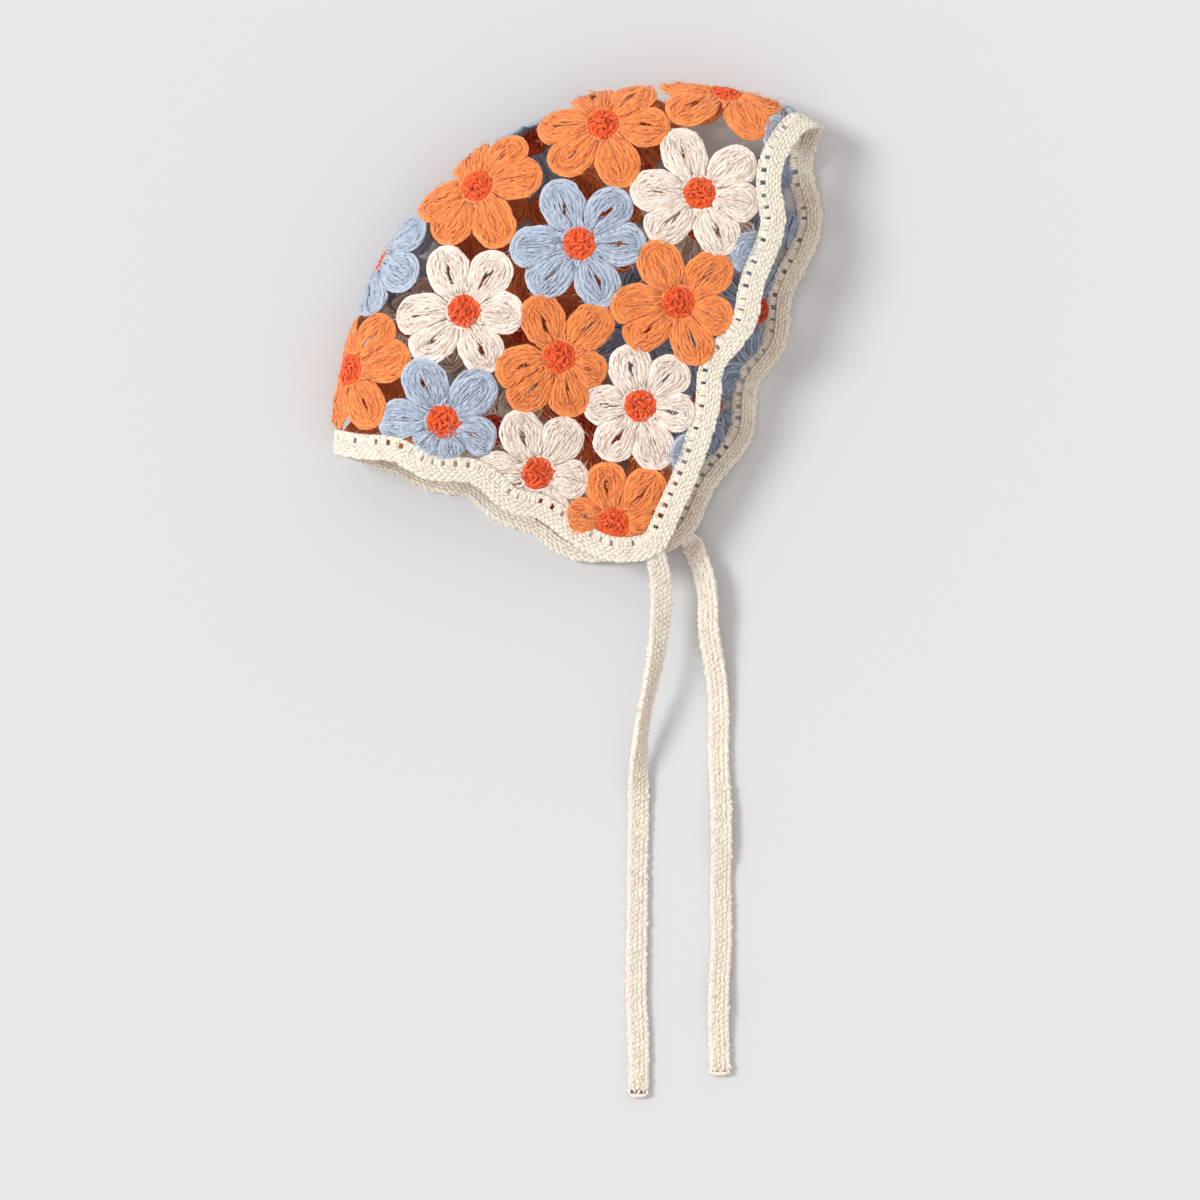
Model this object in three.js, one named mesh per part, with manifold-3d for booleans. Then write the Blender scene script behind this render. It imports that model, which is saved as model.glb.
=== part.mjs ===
// A baby's bonnet joined from crocheted six-petal flowers, lying folded on its side.
// The petal tips meet, a flat crocheted band edges the face and the neck opening in one loop,
// and a flat crocheted tie leaves each front corner of the band.
// Frame: +X from the nape to the face opening, +Y to the top of the crown, +Z off the table.
import * as THREE from "three";
import { mergeVertices } from "three/addons/utils/BufferGeometryUtils.js";
import Module from "manifold-3d";

const wasm = await Module();
wasm.setup();

// The folded bonnet, in millimetres
const bonnetReach = 119.5; // middle of the fold's ellipse to the fold at the nape
const bonnetRise = 129.5; // middle of the fold's ellipse to the fold at the top of the crown
const foldDepth = 26; // silhouette to where the far layer starts to turn up
const foldHeight = 18; // table to the outermost line of the fold
const nearSwell = 22; // rise of the near layer above that line
const nearFullness = 2; // how squarely the near layer's dome falls to the fold: 1 for an ellipse

// Flowers
const petalThickness = 1.8;
const heartThickness = 2.6; // where the petals leave the centre
const petalGap = 0.5; // between the petals of neighbouring flowers
const petalWander = THREE.MathUtils.degToRad(24); // how far a petal turns to meet its neighbours
const nearFan = [-11, 46, 108, 179, 227, 288].map(THREE.MathUtils.degToRad); // the near petals' angles
const nearWander = THREE.MathUtils.degToRad(10); // how far a near petal turns from those
const petalStretch = { least: 0.8, most: 1.2 }; // of a petal's usual reach, to meet its neighbours
const meetingAngle = { least: 0.3, most: 1.75 }; // between two neighbours that a petal points between
const neighbourRange = 1.42; // of the flowers' pitch: what stands further off is no neighbour
const facesAway = -0.5; // cosine between flowers that lie on opposite layers
const centreRadius = 6;
const centreThickness = 2.2;
const centreDome = 1.2; // rise of the knotted middle above its rim
const centreShoulder = { out: 0.6, up: 0.8 }; // of the radius and of the dome
const centreSides = 8;

// Edging and ties
const bandWidth = 9;
const bandThickness = 2.2;
const cornerRounding = 7; // length of edging over which a corner is rounded
const bandStep = 8; // along the edging, between its sections
const trimHeight = 12; // height over which the edging cuts the flowers that it crosses
const tieWidth = 8;
const tieThickness = 2.4;
const tieEdge = 1; // a tie's bevel, across its width
const tieSteps = 18;
const clearance = 0.3; // between pieces that touch

// Where a layer sinks: its side (1 near, -1 far), the middle and spread of the slump as shares of
// reach and rise, and the share of the layer's height that is lost there
const slumps = [
  { side: 1, u: -0.05, v: -0.26, spread: 0.9, share: 0.86 },
  { side: 1, u: 0.3, v: 0.45, spread: 0.6, share: 0.2 },
  { side: -1, u: 0.05, v: -0.32, spread: 0.55, share: 0.3 },
  { side: -1, u: 0.42, v: 0.5, spread: 0.25, share: 0.12 },
];

// The flowers' middles as shares of reach and rise. over runs from 1 on the near layer, by 0 on
// the fold, to -1 on the far layer. whole is false where the edging cuts the centre away.
const flowers = [
  { name: "near_flower_1", yarn: "orange", u: -0.2, v: 0.895, over: 1, whole: true },
  { name: "near_flower_2", yarn: "orange", u: -0.576, v: 0.725, over: 1, whole: true },
  { name: "near_flower_3", yarn: "cream", u: 0.087, v: 0.705, over: 1, whole: true },
  { name: "near_flower_4", yarn: "blue", u: -0.272, v: 0.565, over: 1, whole: true },
  { name: "near_flower_5", yarn: "cream", u: -0.615, v: 0.38, over: 1, whole: true },
  { name: "near_flower_6", yarn: "orange", u: 0.024, v: 0.405, over: 1, whole: true },
  { name: "near_flower_7", yarn: "orange", u: -0.331, v: 0.256, over: 1, whole: true },
  { name: "near_flower_8", yarn: "orange", u: -0.957, v: 0.22, over: 0.28, whole: true },
  { name: "near_flower_9", yarn: "blue", u: -0.68, v: 0.076, over: 1, whole: true },
  { name: "near_flower_10", yarn: "cream", u: -0.09, v: 0.122, over: 1, whole: true },
  { name: "near_flower_11", yarn: "cream", u: -0.398, v: -0.065, over: 1, whole: true },
  { name: "near_flower_12", yarn: "orange", u: -0.17, v: -0.206, over: 1, whole: true },
  { name: "near_flower_13", yarn: "orange", u: 0.167, v: 0.992, over: 0.1, whole: true },
  { name: "near_flower_14", yarn: "blue", u: -0.857, v: 0.518, over: -0.2, whole: true },
  { name: "far_flower_1", yarn: "orange", u: -0.125, v: 0.884, over: -1, whole: true },
  { name: "far_flower_2", yarn: "blue", u: -0.415, v: 0.86, over: -0.6, whole: true },
  { name: "far_flower_3", yarn: "orange", u: -0.606, v: 0.645, over: -1, whole: true },
  { name: "far_flower_4", yarn: "cream", u: -0.782, v: 0.358, over: -1, whole: true },
  { name: "far_flower_5", yarn: "orange", u: -0.851, v: 0.096, over: -1, whole: false },
  { name: "far_flower_6", yarn: "orange", u: -0.254, v: 0.612, over: -1, whole: true },
  { name: "far_flower_7", yarn: "cream", u: 0.09, v: 0.628, over: -1, whole: true },
  { name: "far_flower_8", yarn: "orange", u: -0.442, v: 0.344, over: -1, whole: true },
  { name: "far_flower_9", yarn: "blue", u: -0.09, v: 0.344, over: -1, whole: true },
  { name: "far_flower_10", yarn: "blue", u: 0.25, v: 0.39, over: -1, whole: true },
  { name: "far_flower_11", yarn: "cream", u: -0.537, v: 0.055, over: -1, whole: true },
  { name: "far_flower_12", yarn: "orange", u: -0.239, v: 0.061, over: -1, whole: true },
  { name: "far_flower_13", yarn: "blue", u: 0.11, v: 0.124, over: -1, whole: true },
  { name: "far_flower_14", yarn: "orange", u: -0.085, v: -0.165, over: -1, whole: true },
  { name: "far_flower_15", yarn: "cream", u: -0.373, v: -0.179, over: -1, whole: false },
  { name: "far_flower_16", yarn: "blue", u: 0.385, v: 0.7, over: -1, whole: false },
];

// Flowers that the edging leaves only the petal tips of: they place their neighbours' petals
const trimmedFlowers = [
  { u: 0.457, v: 0.851, over: 1 },
  { u: 0.379, v: 0.551, over: 1 },
  { u: 0.316, v: 0.251, over: 1 },
  { u: 0.179, v: -0.017, over: 1 },
];

// The edging's middle line in runs that follow on from each other, as shares of reach and rise.
// A wave of the edge goes with each flower that it passes.
const edging = [
  // Near side of the face opening, from the top
  { u: 0.391, v: 0.917, over: 1 },
  { u: 0.304, v: 0.799, over: 1 },
  { u: 0.293, v: 0.716, over: 1 },
  { u: 0.31, v: 0.628, over: 1 },
  { u: 0.245, v: 0.46, over: 1 },
  { u: 0.218, v: 0.344, over: 1 },
  { u: 0.125, v: 0.234, over: 1 },
  { u: 0.113, v: 0.124, over: 1 },
  { u: 0.06, v: -0.036, over: 1 },
  { u: -0.015, v: -0.193, over: 1 },
  { u: -0.052, v: -0.262, over: 1 },
  // Near side of the neck opening
  { u: -0.112, v: -0.276, over: 1 },
  { u: -0.2, v: -0.27, over: 1 },
  { u: -0.304, v: -0.21, over: 1 },
  { u: -0.39, v: -0.155, over: 1 },
  { u: -0.47, v: -0.144, over: 1 },
  { u: -0.575, v: -0.063, over: 1 },
  { u: -0.722, v: -0.05, over: 1 },
  { u: -0.818, v: 0, over: 1 },
  { u: -0.92, v: 0.006, over: 1 },
  // The fold at the nape
  { u: -0.994, v: 0.022, over: 0 },
  // Far side of the neck opening
  { u: -0.92, v: 0, over: -1 },
  { u: -0.8, v: -0.042, over: -1 },
  { u: -0.7, v: -0.085, over: -1 },
  { u: -0.6, v: -0.095, over: -1 },
  { u: -0.5, v: -0.172, over: -1 },
  { u: -0.41, v: -0.195, over: -1 },
  { u: -0.299, v: -0.268, over: -1 },
  { u: -0.194, v: -0.275, over: -1 },
  { u: -0.05, v: -0.256, over: -1 },
  // Far side of the face opening
  { u: 0.03, v: -0.224, over: -1 },
  { u: 0.107, v: -0.083, over: -1 },
  { u: 0.215, v: 0.045, over: -1 },
  { u: 0.232, v: 0.19, over: -1 },
  { u: 0.316, v: 0.3, over: -1 },
  { u: 0.335, v: 0.44, over: -1 },
  { u: 0.4, v: 0.56, over: -1 },
  { u: 0.424, v: 0.647, over: -1 },
  { u: 0.392, v: 0.78, over: -1 },
  { u: 0.41, v: 0.868, over: -1 },
  // The fold at the top
  { u: 0.424, v: 0.904, over: 0 },
];

// The middle lines of the ties as they lie, in millimetres from the middle of the fold's ellipse
const tieRoutes = {
  tie_near: [
    [-5.3, -37.6, 19.4], [-3.6, -45, 17.4], [-3.2, -54, 15.4], [-3.6, -63, 14.4],
    [-5, -73.8, 14], [-7.2, -84.6, 13], [-9.4, -95.4, 10.6], [-10.8, -106.2, 7.4],
    [-11.2, -117, 3.9], [-11.2, -127.8, 1.7], [-11.3, -140.4, 1.4], [-11.6, -154.8, 1.4],
    [-11.6, -169.2, 1.4], [-11.9, -183.6, 1.4], [-11.9, -198, 1.4], [-11.2, -212.4, 1.4],
    [-11.2, -225, 1.4], [-11.2, -232.5, 1.4],
  ],
  tie_far: [
    [7.8, -33, 5.2], [9.7, -37.8, 6], [12.2, -45, 7], [13.7, -54, 7],
    [14, -64.8, 6], [15.8, -75.6, 4], [17.3, -86.4, 2.5], [17.7, -97.2, 1.6],
    [17.6, -111.6, 1.6], [18.4, -126, 2.5], [18.7, -140.4, 3.4], [18.5, -151.2, 1.7],
    [18.5, -165.6, 1.5], [18.7, -176.4, 1.5], [18, -187.2, 2], [17.6, -198, 2.8],
    [17.5, -207, 2], [18, -216, 1.5], [18.1, -224.6, 1.7],
  ],
};

const yarns = {
  orange: { color: 0xef8a4a, roughness: 0.95, metalness: 0 },
  cream: { color: 0xf0e8dc, roughness: 0.95, metalness: 0 },
  blue: { color: 0xaabedc, roughness: 0.95, metalness: 0 },
  red: { color: 0xde5023, roughness: 0.95, metalness: 0 },
};

// The layers: two flattish sheets that turn into each other round the fold

const foldStart = 1 - foldDepth / bonnetReach;
const steepest = 0.95; // how far round the fold a layer's own height is taken

function layerHeight(u, v, side) {
  let height = side > 0 ? nearSwell : foldHeight - petalThickness / 2;
  for (const slump of slumps.filter((each) => each.side === side)) {
    const away = Math.hypot(u - slump.u, v - slump.v) / slump.spread;
    height *= 1 - slump.share * Math.max(0, 1 - away ** 2) ** 2;
  }
  return height;
}

// How far round the fold a layer has come: 1 on the outermost line
function foldTurn(u, v, side) {
  const share = Math.hypot(u, v);
  if (side > 0) return share ** nearFullness;
  return Math.max(0, (share - foldStart) / (1 - foldStart));
}

// Zero on the middle surface of the cloth, negative between the layers
function shellLevel(x, y, z) {
  const u = x / bonnetReach;
  const v = y / bonnetRise;
  const climb = z - foldHeight;
  const side = climb > 0 ? 1 : -1;
  return foldTurn(u, v, side) ** 2 + (climb / layerHeight(u, v, side)) ** 2 - 1;
}

function shellSlope(p) {
  const nudge = 0.01;
  return new THREE.Vector3(
    shellLevel(p.x + nudge, p.y, p.z) - shellLevel(p.x - nudge, p.y, p.z),
    shellLevel(p.x, p.y + nudge, p.z) - shellLevel(p.x, p.y - nudge, p.z),
    shellLevel(p.x, p.y, p.z + nudge) - shellLevel(p.x, p.y, p.z - nudge),
  ).divideScalar(2 * nudge);
}

function settle(p) {
  for (let pass = 0; pass < 8; pass += 1) {
    const slope = shellSlope(p);
    p.addScaledVector(slope, -shellLevel(p.x, p.y, p.z) / slope.lengthSq());
  }
  return p;
}

function outward(p) {
  return shellSlope(p).normalize();
}

function placeOnShell({ u, v, over }) {
  const onFold = Math.abs(over) < 1;
  const side = over < 0 ? -1 : 1;
  const turned = Math.sqrt(1 - over ** 2);
  const out = side > 0 ? turned ** (1 / nearFullness) : foldStart + (1 - foldStart) * turned;
  const pull = onFold ? out / Math.hypot(u, v) : 1;
  const turn = Math.min(steepest, foldTurn(u, v, side));
  const rest = onFold ? Math.abs(over) : Math.sqrt(1 - turn ** 2);
  const height = side * rest * layerHeight(u * pull, v * pull, side);
  return settle(
    new THREE.Vector3(u * pull * bonnetReach, v * pull * bonnetRise, foldHeight + height),
  );
}

// Follows the cloth from a point, so that lengths along it stay true round the fold
const stride = 3;

function walk(start, heading, distance) {
  const steps = Math.max(1, Math.ceil(distance / stride));
  const p = start.clone();
  const way = heading.clone();
  for (let step = 0; step < steps; step += 1) {
    p.addScaledVector(way, distance / steps);
    settle(p);
    const up = outward(p);
    way.addScaledVector(up, -way.dot(up)).normalize();
  }
  return p;
}

// Closed meshes

// Joins closed sections of equally many points into a closed tube
function tubeOfSections(sections) {
  const around = sections[0].length;
  const index = [];
  sections.forEach((section, i) => {
    const next = (i + 1) % sections.length;
    for (let j = 0; j < around; j += 1) {
      const k = (j + 1) % around;
      index.push(i * around + j, i * around + k, next * around + k);
      index.push(i * around + j, next * around + k, next * around + j);
    }
  });
  const geometry = new THREE.BufferGeometry();
  geometry.setFromPoints(sections.flat());
  geometry.setIndex(index);
  return geometry;
}

function solidOf(geometry) {
  return new wasm.Manifold(
    new wasm.Mesh({
      numProp: 3,
      vertProperties: geometry.attributes.position.array,
      triVerts: new Uint32Array(geometry.index.array),
    }),
  );
}

function geometryOf(solid) {
  const mesh = solid.getMesh();
  const geometry = new THREE.BufferGeometry();
  geometry.setAttribute("position", new THREE.BufferAttribute(mesh.vertProperties, 3));
  geometry.setIndex(new THREE.BufferAttribute(mesh.triVerts, 1));
  return geometry;
}

// The table flattens what rests on it
function pressToTable(p) {
  p.z = Math.max(0, p.z);
  return p;
}

// Flowers

function seatFlower(row) {
  const middle = placeOnShell(row);
  return { ...row, middle, up: outward(middle), puffsIn: row.over === -1 };
}

const seats = [...flowers, ...trimmedFlowers].map(seatFlower);

function nearestGap(seat) {
  const gaps = seats.filter((other) => other !== seat && other.up.dot(seat.up) > 0);
  return Math.min(...gaps.map((other) => other.middle.distanceTo(seat.middle)));
}

const flowerPitch = seats.reduce((sum, seat) => sum + nearestGap(seat), 0) / seats.length;
const petalReach = flowerPitch / Math.sqrt(3);

function flatFrame(seat) {
  const across = new THREE.Vector3(1, 0, 0);
  if (Math.abs(across.dot(seat.up)) > 0.7) across.set(0, 1, 0);
  across.addScaledVector(seat.up, -across.dot(seat.up)).normalize();
  return { across, along: seat.up.clone().cross(across) };
}

function headingAt(frame, angle) {
  const heading = frame.across.clone().multiplyScalar(Math.cos(angle));
  return heading.addScaledVector(frame.along, Math.sin(angle));
}

function angleOf(frame, offset) {
  return Math.atan2(offset.dot(frame.along), offset.dot(frame.across));
}

function wrapAngle(angle) {
  return Math.atan2(Math.sin(angle), Math.cos(angle));
}

// The neighbours of a flower in the order in which they stand round it
function neighboursOf(seat, frame) {
  return seats
    .filter((other) => other !== seat && other.up.dot(seat.up) > facesAway)
    .filter((other) => other.middle.distanceTo(seat.middle) < neighbourRange * flowerPitch)
    .map((other) => {
      const offset = other.middle.clone().sub(seat.middle);
      return { seat: other, offset, angle: angleOf(frame, offset) };
    })
    .sort((a, b) => a.angle - b.angle);
}

// The point equally far from three points, in their plane
function circumcentre(a, b, c) {
  const ab = b.clone().sub(a);
  const ac = c.clone().sub(a);
  const across = ab.clone().cross(ac);
  const offset = across.clone().cross(ab).multiplyScalar(ac.lengthSq());
  offset.add(ac.clone().cross(across).multiplyScalar(ab.lengthSq()));
  return offset.divideScalar(2 * across.lengthSq()).add(a);
}

// Where the petals of three flowers meet
function meetingPoints(seat, frame, neighbours) {
  const points = [];
  neighbours.forEach((first, i) => {
    const second = neighbours[(i + 1) % neighbours.length];
    const opening = (second.angle - first.angle + 2 * Math.PI) % (2 * Math.PI);
    if (opening > meetingAngle.least && opening < meetingAngle.most) {
      const point = circumcentre(seat.middle, first.seat.middle, second.seat.middle);
      const offset = settle(point).sub(seat.middle);
      points.push({ angle: angleOf(frame, offset), reach: offset.length() });
    }
  });
  return points;
}

// Six petals, turned together to suit the meeting points
function evenFan(points) {
  const sines = points.reduce((sum, point) => sum + Math.sin(6 * point.angle), 0);
  const cosines = points.reduce((sum, point) => sum + Math.cos(6 * point.angle), 0);
  const start = points.length ? Math.atan2(sines, cosines) / 6 : Math.PI / 6;
  return Array.from({ length: 6 }, (_, k) => wrapAngle(start + (k * Math.PI) / 3));
}

// Each petal turns towards its own meeting point
function petalsOf(seat, frame, neighbours) {
  const points = meetingPoints(seat, frame, neighbours);
  const onTop = seat.over === 1;
  const wander = onTop ? nearWander : petalWander;
  return (onTop ? nearFan : evenFan(points)).map((angle) => {
    const point = points.find((each) => Math.abs(wrapAngle(each.angle - angle)) < wander);
    if (!point) return { angle, reach: petalReach };
    const share = THREE.MathUtils.clamp(point.reach / petalReach, petalStretch.least, petalStretch.most);
    return { angle: point.angle, reach: share * petalReach };
  });
}

// A petal's outline: the share of the way to the next petal, and the share of its reach
const petalOutline = [
  { turn: -0.3, reach: 0.9 },
  { turn: 0, reach: 1 },
  { turn: 0.3, reach: 0.9 },
  { turn: 0.5, reach: 0.57 },
];

// Draws a point back until it clears the planes halfway to the neighbours
function clearOfNeighbours(seat, heading, wanted, neighbours) {
  let reach = wanted;
  for (let pass = 0; pass < 8; pass += 1) {
    const point = walk(seat.middle, heading, reach).sub(seat.middle);
    const excess = neighbours.map(({ offset }) => {
      const half = (offset.length() - petalGap) / 2;
      return point.dot(offset) / offset.length() - half;
    });
    const worst = Math.max(0, ...excess);
    if (worst < 0.01) break;
    reach -= worst;
  }
  return reach;
}

// The section of a flower along one spoke: out over the outer face and back along the inner
function spokeSection(seat, heading, reach) {
  const hole = centreRadius + clearance;
  const back = petalThickness / 2;
  const stations = [
    { distance: hole, front: heartThickness - back },
    { distance: (hole + reach) / 2, front: heartThickness - back },
    { distance: reach, front: back },
  ].map(({ distance, front }) => {
    const point = walk(seat.middle, heading, distance);
    const up = outward(point);
    const rise = seat.puffsIn ? back : front;
    const drop = seat.puffsIn ? front : back;
    return {
      outer: pressToTable(point.clone().addScaledVector(up, rise)),
      inner: pressToTable(point.clone().addScaledVector(up, -drop)),
    };
  });
  return [
    ...stations.map((station) => station.outer),
    ...stations.reverse().map((station) => station.inner),
  ];
}

function flowerGeometry(seat) {
  const frame = flatFrame(seat);
  const neighbours = neighboursOf(seat, frame);
  const petals = petalsOf(seat, frame, neighbours);
  const sections = [];
  petals.forEach((petal, k) => {
    const next = petals[(k + 1) % petals.length];
    const last = petals[(k + petals.length - 1) % petals.length];
    const toNext = wrapAngle(next.angle - petal.angle);
    const toLast = wrapAngle(petal.angle - last.angle);
    for (const { turn, reach } of petalOutline) {
      const angle = petal.angle + turn * (turn < 0 ? toLast : toNext);
      const heading = headingAt(frame, angle);
      const clear = clearOfNeighbours(seat, heading, reach * petal.reach, neighbours);
      sections.push(spokeSection(seat, heading, clear));
    }
  });
  return tubeOfSections(sections);
}

function centreGeometry(seat) {
  const back = petalThickness / 2;
  const rim = centreThickness - back;
  const lathe = new THREE.LatheGeometry(
    [
      new THREE.Vector2(0, -back),
      new THREE.Vector2(centreRadius, -back),
      new THREE.Vector2(centreRadius, rim),
      new THREE.Vector2(centreShoulder.out * centreRadius, rim + centreShoulder.up * centreDome),
      new THREE.Vector2(0, rim + centreDome),
    ],
    centreSides,
  );
  lathe.deleteAttribute("normal");
  lathe.deleteAttribute("uv");
  const geometry = mergeVertices(lathe, 1e-3);
  const frame = flatFrame(seat);
  const places = geometry.attributes.position;
  const mirror = seat.puffsIn ? -1 : 1;
  for (let i = 0; i < places.count; i += 1) {
    const local = new THREE.Vector3().fromBufferAttribute(places, i);
    const distance = Math.hypot(local.x, local.z);
    const heading = headingAt(frame, Math.atan2(-mirror * local.z, local.x));
    const point = distance > 1e-6 ? walk(seat.middle, heading, distance) : seat.middle.clone();
    point.addScaledVector(outward(point), mirror * local.y);
    places.setXYZ(i, ...pressToTable(point).toArray());
  }
  return geometry;
}

// Edging

// The middle line: a smooth loop through the table's points, with its corners rounded
function edgingLine() {
  const loop = new THREE.CatmullRomCurve3(edging.map(placeOnShell), true, "centripetal");
  const fine = loop.getSpacedPoints(Math.round(loop.getLength())).slice(0, -1);
  const reach = Math.round(cornerRounding / 2);
  const rounded = fine.map((_, i) => {
    const mean = new THREE.Vector3();
    for (let k = -reach; k <= reach; k += 1) mean.add(fine[(i + k + fine.length) % fine.length]);
    return settle(mean.divideScalar(2 * reach + 1));
  });
  const smooth = new THREE.CatmullRomCurve3(rounded, true);
  smooth.arcLengthDivisions = 4 * rounded.length;
  return smooth.getSpacedPoints(Math.round(smooth.getLength() / bandStep)).slice(0, -1);
}

// Sections of the edging, as shares of its width and its thickness
const flatHexagon = [
  { across: 0.5, up: 0 },
  { across: 0.35, up: 0.5 },
  { across: -0.35, up: 0.5 },
  { across: -0.5, up: 0 },
  { across: -0.35, up: -0.5 },
  { across: 0.35, up: -0.5 },
];

const rectangle = [
  { across: 0.5, up: 0.5 },
  { across: -0.5, up: 0.5 },
  { across: -0.5, up: -0.5 },
  { across: 0.5, up: -0.5 },
];

function bandGeometry(line, outline, width, thickness, finish) {
  const sections = line.map((p, i) => {
    const ahead = line[(i + 1) % line.length];
    const behind = line[(i + line.length - 1) % line.length];
    const up = outward(p);
    const left = up.clone().cross(ahead.clone().sub(behind)).normalize();
    return outline.map((corner) => {
      const point = p.clone().addScaledVector(left, corner.across * width);
      return finish(point.addScaledVector(up, corner.up * thickness));
    });
  });
  return tubeOfSections(sections);
}

// Ties

function tieGeometry(points) {
  const route = new THREE.CatmullRomCurve3(points.map((point) => new THREE.Vector3(...point)));
  const frames = route.computeFrenetFrames(tieSteps, false);
  const middle = Math.round(tieSteps / 2);
  const level = frames.tangents[middle].clone().cross(new THREE.Vector3(0, 0, 1)).normalize();
  const lean = Math.atan2(level.dot(frames.binormals[middle]), level.dot(frames.normals[middle]));
  const width = tieWidth / 2;
  const height = tieThickness / 2;
  const rim = width - tieEdge;
  const outline = [
    [width, -height / 2], [width, height / 2], [rim, height], [-rim, height],
    [-width, height / 2], [-width, -height / 2], [-rim, -height], [rim, -height],
  ].map(([x, y]) => new THREE.Vector2(x, y).rotateAround(new THREE.Vector2(), lean));
  const tube = new THREE.ExtrudeGeometry(new THREE.Shape(outline), {
    steps: tieSteps,
    bevelEnabled: false,
    extrudePath: route,
  });
  tube.deleteAttribute("normal");
  tube.deleteAttribute("uv");
  return mergeVertices(tube, 1e-3);
}

// Assembly

function addPiece(group, name, geometry, yarn) {
  const mesh = new THREE.Mesh(geometry, new THREE.MeshStandardMaterial(yarns[yarn]));
  mesh.name = name;
  group.add(mesh);
  return mesh;
}

const line = edgingLine();
const trimWidth = bandWidth + 2 * clearance;
const trim = solidOf(bandGeometry(line, rectangle, trimWidth, trimHeight, (p) => p));

// What is left of a piece inside the edging
function trimmed(geometry) {
  const pieces = solidOf(geometry).subtract(trim).decompose();
  pieces.sort((a, b) => b.volume() - a.volume());
  return geometryOf(pieces[0]);
}

const bonnet = new THREE.Group();
for (const seat of seats.filter((each) => each.name)) {
  addPiece(bonnet, seat.name, trimmed(flowerGeometry(seat)), seat.yarn);
  const centreName = seat.name.replace("flower", "centre");
  if (seat.whole) addPiece(bonnet, centreName, trimmed(centreGeometry(seat)), "red");
}
const band = bandGeometry(line, flatHexagon, bandWidth, bandThickness, pressToTable);
addPiece(bonnet, "edging_band", band, "cream");

// The origin is under the middle of the bonnet's own box, without the ties
const box = new THREE.Box3().setFromObject(bonnet);
const middle = box.getCenter(new THREE.Vector3());
bonnet.position.set(-middle.x, -middle.y, -box.min.z);
for (const [name, points] of Object.entries(tieRoutes)) {
  addPiece(bonnet, name, tieGeometry(points), "cream");
}

const part = new THREE.Group();
part.add(bonnet);

export default part;
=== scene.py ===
import math

import bmesh
import bpy
import numpy as np
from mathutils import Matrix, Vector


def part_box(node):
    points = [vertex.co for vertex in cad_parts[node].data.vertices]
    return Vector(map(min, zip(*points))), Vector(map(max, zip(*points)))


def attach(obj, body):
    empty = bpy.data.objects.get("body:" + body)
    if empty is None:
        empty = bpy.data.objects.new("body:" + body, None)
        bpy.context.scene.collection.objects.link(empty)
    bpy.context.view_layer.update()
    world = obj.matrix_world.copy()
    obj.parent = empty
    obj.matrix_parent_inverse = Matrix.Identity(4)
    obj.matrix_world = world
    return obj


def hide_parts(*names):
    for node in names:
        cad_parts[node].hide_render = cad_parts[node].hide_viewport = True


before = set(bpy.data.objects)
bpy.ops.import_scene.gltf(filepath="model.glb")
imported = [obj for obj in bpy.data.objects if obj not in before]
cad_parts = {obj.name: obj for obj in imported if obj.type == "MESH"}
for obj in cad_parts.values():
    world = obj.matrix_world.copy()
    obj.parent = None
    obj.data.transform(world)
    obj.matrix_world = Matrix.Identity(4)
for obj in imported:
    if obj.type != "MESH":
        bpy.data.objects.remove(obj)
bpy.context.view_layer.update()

# A baby's bonnet joined from crocheted six-petal flowers, lying folded on its side, with a
# crocheted edging and two flat ties. Lengths are in millimetres until a piece is made.

scene = bpy.context.scene
chance = np.random.default_rng(11)
metre = 0.001

# The folded bonnet
bonnet_reach = 119.5  # middle of the fold's ellipse to the fold at the nape
bonnet_rise = 129.5  # middle of the fold's ellipse to the fold at the top of the crown
fold_depth = 26.0
fold_height = 18.0
near_swell = 22.0
near_fullness = 2  # the power that rounds the near layer off towards the fold
far_drop = 17.1
near_fan = [math.radians(angle) for angle in (-11, 46, 108, 179, 227, 288)]
near_reach = 24.4  # middle of a near flower to a petal's tip, where nothing stops it
near_wander = math.radians(10)
petal_wander = math.radians(24)
petal_gap = -2.0  # soft petals press into each other a little
near_share = 0.8  # how much of the way to a far flower a near flower's petals may take
far_share = 0.4  # the same for a far flower's petals towards a near flower
neighbour_range = 1.42  # in flower pitches
meeting_openings = (0.3, 1.75)  # radians between two neighbours that a petal may point between
meeting_reach = (0.8, 1.2)  # shares of a petal's usual reach that such a petal may have
shoulder_turn = math.radians(15)  # from a petal's middle line to its shoulder
shoulder_share = 0.92
band_width = 9.0

# Side, middle (u, v), spread and share of the height lost, for each slump of a layer
slumps = [
    (1, -0.05, -0.26, 0.9, 0.86),
    (1, 0.3, 0.45, 0.6, 0.2),
    (-1, 0.05, -0.32, 0.55, 0.3),
    (-1, 0.42, 0.5, 0.25, 0.12),
]

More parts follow.
